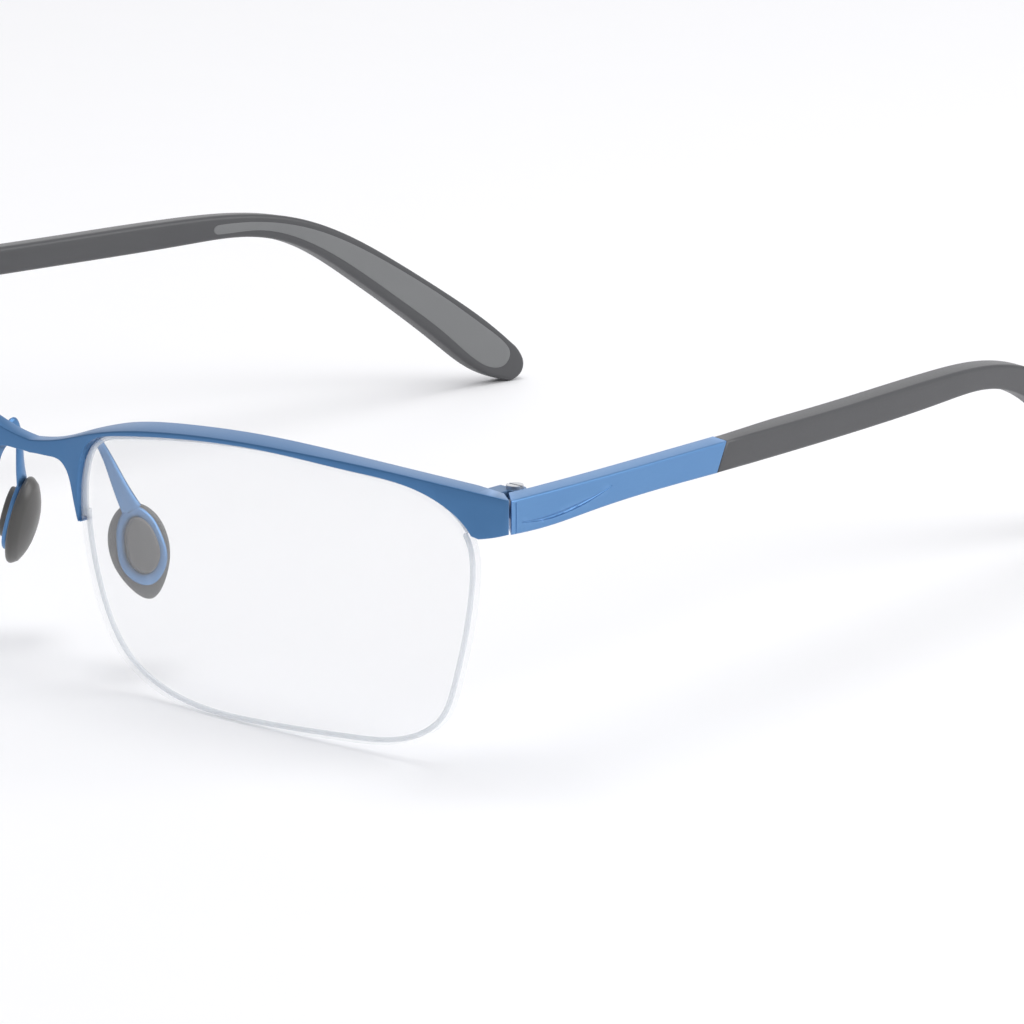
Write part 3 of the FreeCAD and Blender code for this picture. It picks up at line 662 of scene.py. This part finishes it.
@dataclass
class LensForm:
    """The lens's curves, which the bar, cord and liner follow, in mm.

    Args:
        radius: Radius of the front surface.
        thickness: Thickness of the lens.
        centre_x: The optical centre's distance from the middle plane.
        centre_z: The optical centre's height.
        vertex_y: The front surface's place at that centre, from the hinge corner.
        face_form: How far each lens turns towards the temple, in degrees.
        rim_gap: Gap between the lens's edge and the bar.
    """

    radius: float = 200.0
    thickness: float = 2.0
    centre_x: float = 36.4
    centre_z: float = 16.0
    vertex_y: float = -4.6
    face_form: float = 3.2
    rim_gap: float = 0.4

    def outline(self) -> list[Point2]:
        """Return the lens outline as a dense closed loop."""
        return smooth(LENS_OUTLINE, 12, closed=True)

    def front(self, x: float, z: float) -> float:
        """Find the front surface.

        Args:
            x: Distance from the middle plane.
            z: Height.

        Returns:
            The front surface's y in mm.
        """
        across, up = x - self.centre_x, z - self.centre_z
        bulge = (across ** 2 + up ** 2) / (2 * self.radius)
        return HINGE_Y + self.vertex_y + across * math.tan(math.radians(self.face_form)) + bulge

    def bar_front(self, x: float) -> float:
        """Return y of the bar's front face."""
        return self.front(max(abs(x), 6.0), 29.0) - 0.5

    def edge_run(self, start: Point2, end: Point2, outward: float) -> list[Point2]:
        """Return the outline from near one point round to near another.

        Args:
            start: Where the run starts, roughly.
            end: Where it ends, roughly.
            outward: How far outside the lens edge the run lies.

        Returns:
            The run's points, in the outline's own direction.
        """
        loop = inset(self.outline(), -outward)
        first, last = (min(range(len(loop)), key=lambda i: math.dist(loop[i], at)) for at in (start, end))
        if last <= first:
            last += len(loop)
        return [loop[i % len(loop)] for i in range(first, last + 1)]


FORM = LensForm()


@dataclass
class FrontBar:
    """The blue half rim bar with its bridge, legs and endpieces.

    Args:
        depth: Depth of the bar from front to rear in mm.
        leg_depth: Depth of the legs and the bridge.
        edge: Radius of the front edges.
        rear_edge: Radius of the rear edges.
        corner_room: How much wider the opening is than the lens at the endpiece.
        mitre_from: Where the endpiece's slanted end begins, from the middle plane.
    """

    depth: float = 3.0
    leg_depth: float = 1.7
    edge: float = 0.16
    rear_edge: float = 0.3
    corner_room: float = 0.8
    mitre_from: float = 64.0

    def half(self, top: Sequence[Point2], mitre: float) -> list[Point2]:
        """Return the wearer's left half of the bar's outline.

        Args:
            top: The bar's top edge.
            mitre: How much shorter the endpiece is on this face.

        Returns:
            Points from the middle of the bridge's top round to the middle of its underside.
        """
        steps, corner_from, corner_reach = 90, 48.0, 16.0
        stations = [HALF_WIDTH * (step / steps) for step in range(steps + 1)]
        points = [(x, height(top, x)) for x in stations]
        points += ENDPIECE_FOOT[:1] + smooth(ENDPIECE_FOOT, 3)[1:]
        for x, z in reversed(FORM.edge_run((8.9, 18.9), (64.5, 26.6), FORM.rim_gap)):
            wider = max(0.0, (x - corner_from) / corner_reach) ** 2
            points.append((x + self.corner_room * wider, z + self.corner_room * wider / 5))
        points += smooth(LEG_AND_BRIDGE, 5)
        slanted = HALF_WIDTH - self.mitre_from
        return [(x - mitre * clamped((x - self.mitre_from) / slanted), z) for x, z in points]

    def build(self) -> None:
        """Build the bar and let it stand for its node."""
        outlines = []
        for top, mitre in ((smooth(CREASE, 8), 0.0), (smooth(REAR_TOP, 8), self.depth)):
            right = self.half(top, mitre)
            mirror = [(-x, z) for x, z in reversed(right[1:-1])]
            outlines.append(right + mirror)

        def place(x: float, z: float, share: float) -> Vector:
            """Wrap the outline onto the bar's curved face, thinner at the legs and the bridge.

            Args:
                x: Distance from the middle plane in mm.
                z: Height in mm.
                share: 0 on the front face, 1 on the rear one.

            Returns:
                The position in metres.
            """
            below = clamped((27.6 - z) / 2.4) if abs(x) < 11.0 else 0.0
            thinner = max(below, eased(clamped((15.0 - abs(x)) / 7.0)))
            depth = self.depth + (self.leg_depth - self.depth) * thinner
            return Vector((x, FORM.bar_front(x) + share * depth, z)) * MM

        bar = slab("front_bar_dressed", outlines[0], outlines[1], place, self.depth, self.edge, self.rear_edge)
        finish_piece(bar, ANODISED_BLUE, "front", "blue_metal", "front_bar")


@dataclass
class Lens:
    """One clear lens with its cord and liner.

    Args:
        side: The wearer's side that it is on.
        rings: Rings of faces from the middle to the edge.
        cord_radius: Radius of the nylon cord in mm.
        cord_depth: How far inside the lens's edge the cord's middle lies.
        liner_radius: Radius of the liner.
        liner_out: How far outside the lens's edge the liner's middle lies.
        edge_ease: Size of the bevel on the lens's edges.
    """

    side: Side
    rings: int = 14
    cord_radius: float = 0.3
    cord_depth: float = 0.38
    liner_radius: float = 0.36
    liner_out: float = 0.18
    edge_ease: float = 0.15

    def build(self) -> None:
        """Build the lens, its nylon cord and its rim liner."""
        self._lens()
        self._cord()
        self._liner()

    def _lens(self) -> None:
        """Build the curved lens, with its edge as a second finish."""
        sign = self.side.value
        outline = FORM.outline()
        centre = Vector((FORM.centre_x, FORM.centre_z))
        made = bmesh.new()
        grids = []
        for depth in (0.0, FORM.thickness):
            rows = []
            for ring in range(1, self.rings + 1):
                share = ring / self.rings
                loop = inset(outline, self.edge_ease) if ring == self.rings else outline
                row = []
                for x, z in loop:
                    spot = centre + (Vector((x, z)) - centre) * share
                    place = Vector((sign * spot.x, FORM.front(spot.x, spot.y) + depth, spot.y))
                    row.append(made.verts.new(place * MM))
                rows.append(row)
            middle = made.verts.new(Vector((sign * centre.x, FORM.front(*centre) + depth, centre.y)) * MM)
            bridge_rings(made, rows)
            fan(made, rows[0], middle)
            grids.append(rows[-1])
        walls = []
        for depth in (self.edge_ease, FORM.thickness - self.edge_ease):
            walls.append([
                made.verts.new(Vector((sign * x, FORM.front(x, z) + depth, max(z, FLOOR_LIFT))) * MM)
                for x, z in outline])
        before = len(made.faces)
        bridge_rings(made, [grids[0], walls[0], walls[1], grids[1]])
        made.faces.ensure_lookup_table()
        for index in range(before, len(made.faces)):
            made.faces[index].material_index = 1
        lens = new_piece("lens_%s_dressed" % self.side.word, made, 35.0)
        finish_piece(lens, ClearLens(), "front", "clear_lens", "lens_" + self.side.word)
        lens.data.materials.append(LENS_EDGE.material())

    def _along_edge(self, run: Sequence[Point2]) -> list[Vector]:
        """Place a run of the outline at the lens's mid thickness."""
        sign = self.side.value
        return [Vector((sign * x, FORM.front(x, z) + FORM.thickness / 2, z)) for x, z in run]

    def _cord(self) -> None:
        """Build the nylon cord under the lens."""
        path = self._along_edge(FORM.edge_run((63.9, 27.0), (8.5, 20.2), -self.cord_depth))
        cord = tube("lens_cord_%s_dressed" % self.side.word, path, [self.cord_radius] * len(path), 10)
        finish_piece(cord, NYLON, "front", "nylon", "lens_cord_" + self.side.word)

    def _liner(self) -> None:
        """Build the nylon liner between the bar and the lens."""
        path = self._along_edge(FORM.edge_run((8.6, 19.6), (63.6, 26.6), self.liner_out))
        liner = tube("rim_liner_%s_dressed" % self.side.word, path, [self.liner_radius] * len(path), 10)
        finish_piece(liner, NYLON, "front", "nylon", "rim_liner_" + self.side.word)


@dataclass
class NosePad:
    """One silicone pad with its wire arm and ring.

    Args:
        side: The wearer's side that it is on.
        splay: Turn of the pad about the upright, in degrees.
        lean: Tilt of the pad towards the bridge, in degrees.
        pad_size: Width and height of the pad in mm.
        ring_size: Width and height of the ring.
        window_size: Width and height of the ring's window.
        thickness: Thickness of the pad at its crown.
        ring_thickness: Thickness of the ring.
        drop: How far the pad sits below the ring's middle.
        boss: How far the pad's boss stands out behind it.
        arm_flat: Half thickness of the flattened arm.
    """

    side: Side
    splay: float = 28.0
    lean: float = 18.0
    pad_size: Point2 = (7.2, 11.2)
    ring_size: Point2 = (5.8, 9.2)
    window_size: Point2 = (3.9, 6.6)
    thickness: float = 2.5
    ring_thickness: float = 0.6
    drop: float = 0.6
    boss: float = 1.5
    arm_flat: float = 0.36

    def teardrop(self, size: Point2, pointed: float = 0.0, steps: int = 8) -> list[Point2]:
        """Return a closed egg-shaped outline.

        Args:
            size: Width and height in mm.
            pointed: 0 for a foot as full as the ring's, 1 for one that narrows to a rounded point.
            steps: How many stretches each span gets.

        Returns:
            The outline's points.
        """
        half, tall = size[0] / 2, size[1] / 2
        right = []
        for (a, b), (c, d) in zip(FULL_FOOT, NARROW_FOOT):
            right.append((half * (a + (c - a) * pointed), tall * (b + (d - b) * pointed)))
        left = [(-x, z) for x, z in reversed(right)]
        return smooth([(0.0, tall)] + right + [(0.0, -tall)] + left, steps, closed=True)

    def frame(self) -> tuple[Vector, Vector, Vector, Vector]:
        """Find the ring's place and directions for the wearer's left.

        Returns:
            The ring's centre in mm, and its across, up and towards-the-nose directions.
        """
        lean, splay = math.radians(self.lean), math.radians(self.splay)
        up = Vector((-math.sin(lean), 0, math.cos(lean)))
        towards = Vector((-math.cos(splay) * math.cos(lean), math.sin(splay), -math.sin(lean) * math.cos(splay)))
        across = up.cross(towards).normalized()
        return Vector((10.1, HINGE_Y + 3.3, 14.9)), across, up, across.cross(up)

    def placed(self, a: float, b: float, c: float) -> Vector:
        """Turn pad coordinates into a position on this side.

        Args:
            a: Distance across the pad in mm.
            b: Distance up the pad.
            c: Distance towards the nose.

        Returns:
            The position in metres.
        """
        centre, across, up, towards = self.frame()
        spot = centre + across * a + up * b + towards * c
        return Vector((self.side.value * spot.x, spot.y, spot.z)) * MM

    def build(self) -> None:
        """Build the arm with its ring, and the pad with its boss."""
        self._arm()
        self._pad()

    def _pad(self) -> None:
        """Build the crowned pad, its rolled rim and the boss on its back."""
        made = bmesh.new()
        crown_fall, crown_power = 1.55, 2.4
        profile = [(share, self.thickness - crown_fall * share ** crown_power) for share in PAD_CROWN_SHARES]
        profile += PAD_RIM
        outline = self.teardrop(self.pad_size, 0.8)
        rings = []
        for share, level in profile:
            rings.append([made.verts.new(self.placed(x * share, z * share - self.drop, level)) for x, z in outline])
        boss = self.teardrop((self.window_size[0] - 0.1, self.window_size[1] - 0.15))
        for share, level in ((1.0, -0.05), (1.0, 0.2 - self.boss), (0.96, 0.07 - self.boss), (0.86, -self.boss)):
            rings.append([made.verts.new(self.placed(x * share, z * share, level)) for x, z in boss])
        bridge_rings(made, rings)
        for ring, below, level in ((rings[0], self.drop, self.thickness), (rings[-1], 0.0, -self.boss)):
            fan(made, ring, made.verts.new(self.placed(0, -below, level)))
        pad = new_piece("nose_pad_%s_dressed" % self.side.word, made, 55.0)
        finish_piece(pad, SILICONE_GREY, "front", "silicone", "nose_pad_" + self.side.word)

    def _arm(self) -> None:
        """Build the wire arm and the ring at its end as one joined piece."""
        made = bmesh.new()
        outer, inner = self.teardrop(self.ring_size), self.teardrop(self.window_size)
        low, high, ease = -self.ring_thickness, 0.0, 0.12
        layers = (
            (outer, ease, low), (outer, 0.0, low + ease), (outer, 0.0, high - ease), (outer, ease, high),
            (inner, -ease, high), (inner, 0.0, high - ease), (inner, 0.0, low + ease), (inner, -ease, low),
        )
        rings = []
        for loop, amount, level in layers:
            rings.append([made.verts.new(self.placed(x, z, level)) for x, z in inset(loop, amount)])
        bridge_rings(made, rings + rings[:1])
        ring = new_piece("pad_ring", made, 50.0)
        run = [Vector((self.side.value * x, HINGE_Y + y, z)) for x, y, z in PAD_ARM_ROUTE]
        run.append(self.placed(0, self.ring_size[1] / 2 - 0.5, -self.ring_thickness / 2) / MM)
        path = [Vector(point) for point in smooth([tuple(point) for point in run], 7)]
        narrow, extra, from_share = 0.5, 0.75, 0.45
        shares = [i / (len(path) - 1) for i in range(len(path))]
        wide = [narrow + extra * max(0.0, (share - from_share) / (1 - from_share)) ** 1.3 for share in shares]
        facing = self.placed(0, 0, 1.0) - self.placed(0, 0, 0.0)
        arm = tube("pad_arm_%s_dressed" % self.side.word, path, wide, 14, self.arm_flat, facing.normalized())
        joined = bmesh.new()
        joined.from_mesh(arm.data)
        joined.from_mesh(ring.data)
        joined.to_mesh(arm.data)
        joined.free()
        bpy.data.objects.remove(ring)
        finish_piece(arm, WIRE_BLUE, "front", "blue_wire", "pad_arm_" + self.side.word)


# ---- the temples ---------------------------------------------------------------------------------------


@dataclass
class Temple:
    """One folding temple: metal front, sleeve and inlay.

    Args:
        side: The wearer's side that it is on.
        plate_thickness: Thickness of the metal front in mm.
        sleeve_thickness: Thickness of the sleeve where it is thickest.
        tip_thickness: Thickness of the sleeve at its tip.
        mitre_gap: Gap to the endpiece at the hinge's corner.
        mitre_reach: Length of the plate's slanted front end.
        joint_gap: Gap between the metal front and the sleeve.
        facet: Drop of the top facet towards the outer face.
        sleeve_full_at: Where the sleeve reaches its full thickness, from the hinge corner.
        plate_steps: Stretches along the metal front's edges.
    """

    side: Side
    plate_thickness: float = 2.2
    sleeve_thickness: float = 3.0
    tip_thickness: float = 2.5
    mitre_gap: float = 0.35
    joint_gap: float = 0.1
    facet: float = 0.2
    mitre_reach: float = 6.0
    sleeve_full_at: float = 52.0
    plate_steps: int = 40

    @staticmethod
    def outer(behind: float) -> float:
        """Return how far the outer face is from the middle plane, in mm."""
        return HALF_WIDTH - 0.0333 * behind - 0.00055 * behind ** 2

    def thick(self, behind: float) -> float:
        """Find the sleeve's thickness.

        Args:
            behind: Distance behind the hinge corner in mm.

        Returns:
            The thickness in mm.
        """
        if behind < self.sleeve_full_at:
            share = clamped((behind - PLATE_END_FOOT) / (self.sleeve_full_at - PLATE_END_FOOT))
            return self.plate_thickness + eased(share) * (self.sleeve_thickness - self.plate_thickness)
        thinner = max(0.0, (behind - 90.0) / 50.0)
        return self.sleeve_thickness - thinner * (self.sleeve_thickness - self.tip_thickness)

    def at(self, behind: float, z: float, inward: float) -> Vector:
        """Return a position in metres at a depth below the temple's outer face."""
        return Vector((self.side.value * (self.outer(behind) - inward), HINGE_Y + behind, z)) * MM

    def build(self) -> None:
        """Build the temple's pieces in order from the hinge."""
        self._plate()
        self._sleeve()
        self._inlay()

    def _plate(self) -> None:
        """Build the blue metal front with its sunk wavy line."""
        top, under = smooth(TEMPLE_TOP, 8), smooth(TEMPLE_UNDER, 8)
        steps = self.plate_steps
        stations = [self.mitre_gap + (PLATE_END_TOP - self.mitre_gap) * step / steps for step in range(steps + 1)]
        loop = [(u, height(top, u)) for u in stations]
        foot = [PLATE_END_FOOT - (PLATE_END_FOOT - self.mitre_gap) * step / steps for step in range(steps + 1)]
        crease = [(u, z - self.facet) for u, z in loop]
        low = [(u, height(under, u)) for u in foot]
        far = [(u + self.plate_thickness * (1 - clamped(u / self.mitre_reach)), z) for u, z in loop + low]

        def place(u: float, z: float, share: float) -> Vector:
            """Wrap the side view onto the temple's bowed face."""
            return self.at(u, z, share * self.plate_thickness)

        name = "temple_plate_%s_dressed" % self.side.word
        plate = slab(name, crease + low, far, place, self.plate_thickness, 0.25, 0.2)
        strip_at, strip_radius, line_radius, line_height = 1.15, 0.1, 0.24, -0.02
        strip = [self.at(strip_at, z, 0.0) / MM for z in (27.0, 29.0, 31.05)]
        cut_away(plate, tube("strip_cutter", strip, [strip_radius] * 3, 8))
        line = [self.at(u, z, line_height) / MM for u, z in smooth(WAVY_LINE, 10)]
        count = len(line)
        widths = [line_radius * min(1.0, 0.35 + 2.4 * min(i, count - 1 - i) / count) for i in range(count)]
        cut_away(plate, tube("wavy_cutter", line, widths, 12))
        finish_piece(plate, TEMPLE_BLUE, self.side.body, "blue_temple", "temple_plate_" + self.side.word)

    def _sleeve(self) -> None:
        """Build the grey sleeve down to its rounded tip."""
        top, under = smooth(TEMPLE_TOP, 10), smooth(TEMPLE_UNDER, 10)
        start_top, start_foot = PLATE_END_TOP + self.joint_gap, PLATE_END_FOOT + self.joint_gap
        upper = [(start_top, height(top, start_top))] + [point for point in top if point[0] > start_top + 0.8]
        lower = smooth([TEMPLE_TOP[-1]] + TIP_ROUND + [TEMPLE_UNDER[-1]], 4)[1:-1]
        lower += [point for point in reversed(under) if point[0] > start_foot + 0.8]
        lower.append((start_foot, height(under, start_foot)))
        crease = [(u, z - self.facet * clamped((132.0 - u) / 40.0)) for u, z in upper]

        def place(u: float, z: float, share: float) -> Vector:
            """Wrap the side view onto the bowed face at the sleeve's own thickness."""
            return self.at(u, max(z, FLOOR_LIFT), share * self.thick(u))

        name = "temple_sleeve_%s_dressed" % self.side.word
        sleeve = slab(name, crease + lower, upper + lower, place, self.sleeve_thickness, 0.45, 0.6, 5)
        finish_piece(sleeve, SATIN_GREY, self.side.body, "grey_sleeve", "temple_sleeve_" + self.side.word)

    def _inlay(self) -> None:
        """Build the soft strip let into the sleeve's inner face."""
        loop = smooth(INLAY_OUTLINE, 5, closed=True)

        def place(u: float, z: float, share: float) -> Vector:
            """Set the strip into the inner face, a hair proud of it."""
            return self.at(u, z, self.thick(u) - 0.45 + share * 0.5)

        strip = slab("temple_inlay_%s_dressed" % self.side.word, loop, loop, place, 0.5, 0.05, 0.12, 3)
        finish_piece(strip, SOFT_INLAY, self.side.body, "grey_inlay", "temple_inlay_" + self.side.word)


@dataclass
class Hinge:
    """The hinge's small metal pieces on one side.

    Args:
        side: The wearer's side that it is on.
        rounding: Width of the rounding on the edges in mm.
        leaf_from: Where the temple leaf's lowered part begins, from the hinge corner.
        leaf_top: Height of the lowered part.
    """

    side: Side
    rounding: float = 0.07
    leaf_from: float = 6.7
    leaf_top: float = 30.3

    def build(self) -> None:
        """Dress the two leaves, the screw and the steel core."""
        word = self.side.word
        for node, body, slot, finish in (
            ("front_hinge_" + word, "front", "hinge_metal", HINGE_METAL),
            ("hinge_screw_" + word, "front", "screw_steel", SCREW_STEEL),
            ("temple_hinge_" + word, self.side.body, "hinge_metal", HINGE_METAL),
        ):
            piece = bevelled_copy(node, self.rounding)
            if node.startswith("temple_hinge"):
                low = Vector((-80, HINGE_Y + self.leaf_from, self.leaf_top))
                cut_away(piece, block("leaf_cutter", low, Vector((80, HINGE_Y + 30, 40))))
            finish_piece(piece, finish, body, slot, node)
        for material_slot in frame["nodes"]["temple_core_" + word].material_slots:
            material_slot.material = CORE_STEEL.material()


# ---- the studio ----------------------------------------------------------------------------------------


@dataclass
class Studio:
    """Pale floor, soft lights and the camera.

    Args:
        azimuth: The camera's turn to the wearer's left of the front, in degrees.
        elevation: The camera's rise, in degrees.
        distance: The camera's distance from the left hinge's corner in mm.
        focal: The camera's focal length in mm.
    """

    azimuth: float = 42.6
    elevation: float = 14.9
    distance: float = 700.0
    focal: float = 231.2

    def build(self) -> None:
        """Set up the floor, the lights, the surroundings and the camera."""
        self._floor()
        self._world()
        self._light("key", (0.02, 0.0, 1.0), 0.65, 4.6)
        self._light("side", (0.95, 0.55, 0.6), 0.8, 7.0)
        self._light("rear", (-0.75, 0.95, 0.42), 1.0, 2.4)
        self._camera()

    def _floor(self) -> None:
        """Lay the pale floor under the object."""
        made = bmesh.new()
        bmesh.ops.create_grid(made, x_segments=2, y_segments=2, size=6.0)
        floor = new_piece("studio_floor", made)
        paper = Finish(
            "studio_paper", (0.955, 0.955, 0.965), (0.965, 0.965, 0.975), roughness=0.8, grain=600.0, bump=0.01)
        floor.data.materials.append(paper.material())

    def _world(self) -> None:
        """Surround the scene with soft white light."""
        world = bpy.data.worlds.new("studio_world")
        bpy.context.scene.world = world
        world.use_nodes = True
        background = world.node_tree.nodes["Background"]
        background.inputs["Color"].default_value = (0.97, 0.97, 1.0, 1.0)
        background.inputs["Strength"].default_value = 0.45
        bpy.context.scene.view_settings.view_transform = "Standard"

    def _light(self, name: str, place: tuple[float, float, float], size: float, power: float) -> None:
        """Hang one square soft light that points at the object.

        Args:
            name: The light's name after studio_.
            place: Its position in metres.
            size: Length of its side in metres.
            power: Its power in watts.
        """
        lamp = bpy.data.lights.new("studio_" + name, "AREA")
        lamp.size = size
        lamp.energy = power
        holder = bpy.data.objects.new("studio_" + name, lamp)
        holder.location = Vector(place)
        aim = Vector((0.0, -0.02, 0.015)) - holder.location
        holder.rotation_euler = aim.to_track_quat("-Z", "Y").to_euler()
        bpy.context.scene.collection.objects.link(holder)

    def _camera(self) -> None:
        """Place the camera so that the left hinge's corner is at the middle of the view."""
        turn, rise = math.radians(self.azimuth), math.radians(self.elevation)
        back = Vector((math.sin(turn) * math.cos(rise), -math.cos(turn) * math.cos(rise), math.sin(rise)))
        right = Vector((math.cos(turn), math.sin(turn), 0.0))
        up = back.cross(right)
        corner = Vector((HALF_WIDTH, HINGE_Y, 30.0)) + right * 0.32 + up * 0.25
        camera = bpy.data.cameras.new("studio_camera")
        camera.lens = self.focal
        camera.sensor_width = 36.0
        camera.clip_end = 50.0
        holder = bpy.data.objects.new("studio_camera", camera)
        pose = Matrix((right, up, back)).transposed().to_4x4()
        pose.translation = (corner + back * self.distance) * MM
        holder.matrix_world = pose
        bpy.context.scene.collection.objects.link(holder)
        bpy.context.scene.camera = holder


def main() -> None:
    """Build the studio and every piece."""
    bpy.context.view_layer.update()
    Studio().build()
    FrontBar().build()
    for side in Side:
        LOG.info("building the wearer's %s side", side.word)
        Lens(side).build()
        NosePad(side).build()
        Temple(side).build()
        Hinge(side).build()


if __name__ == "__main__":
    logging.basicConfig(level=logging.INFO)
    main()
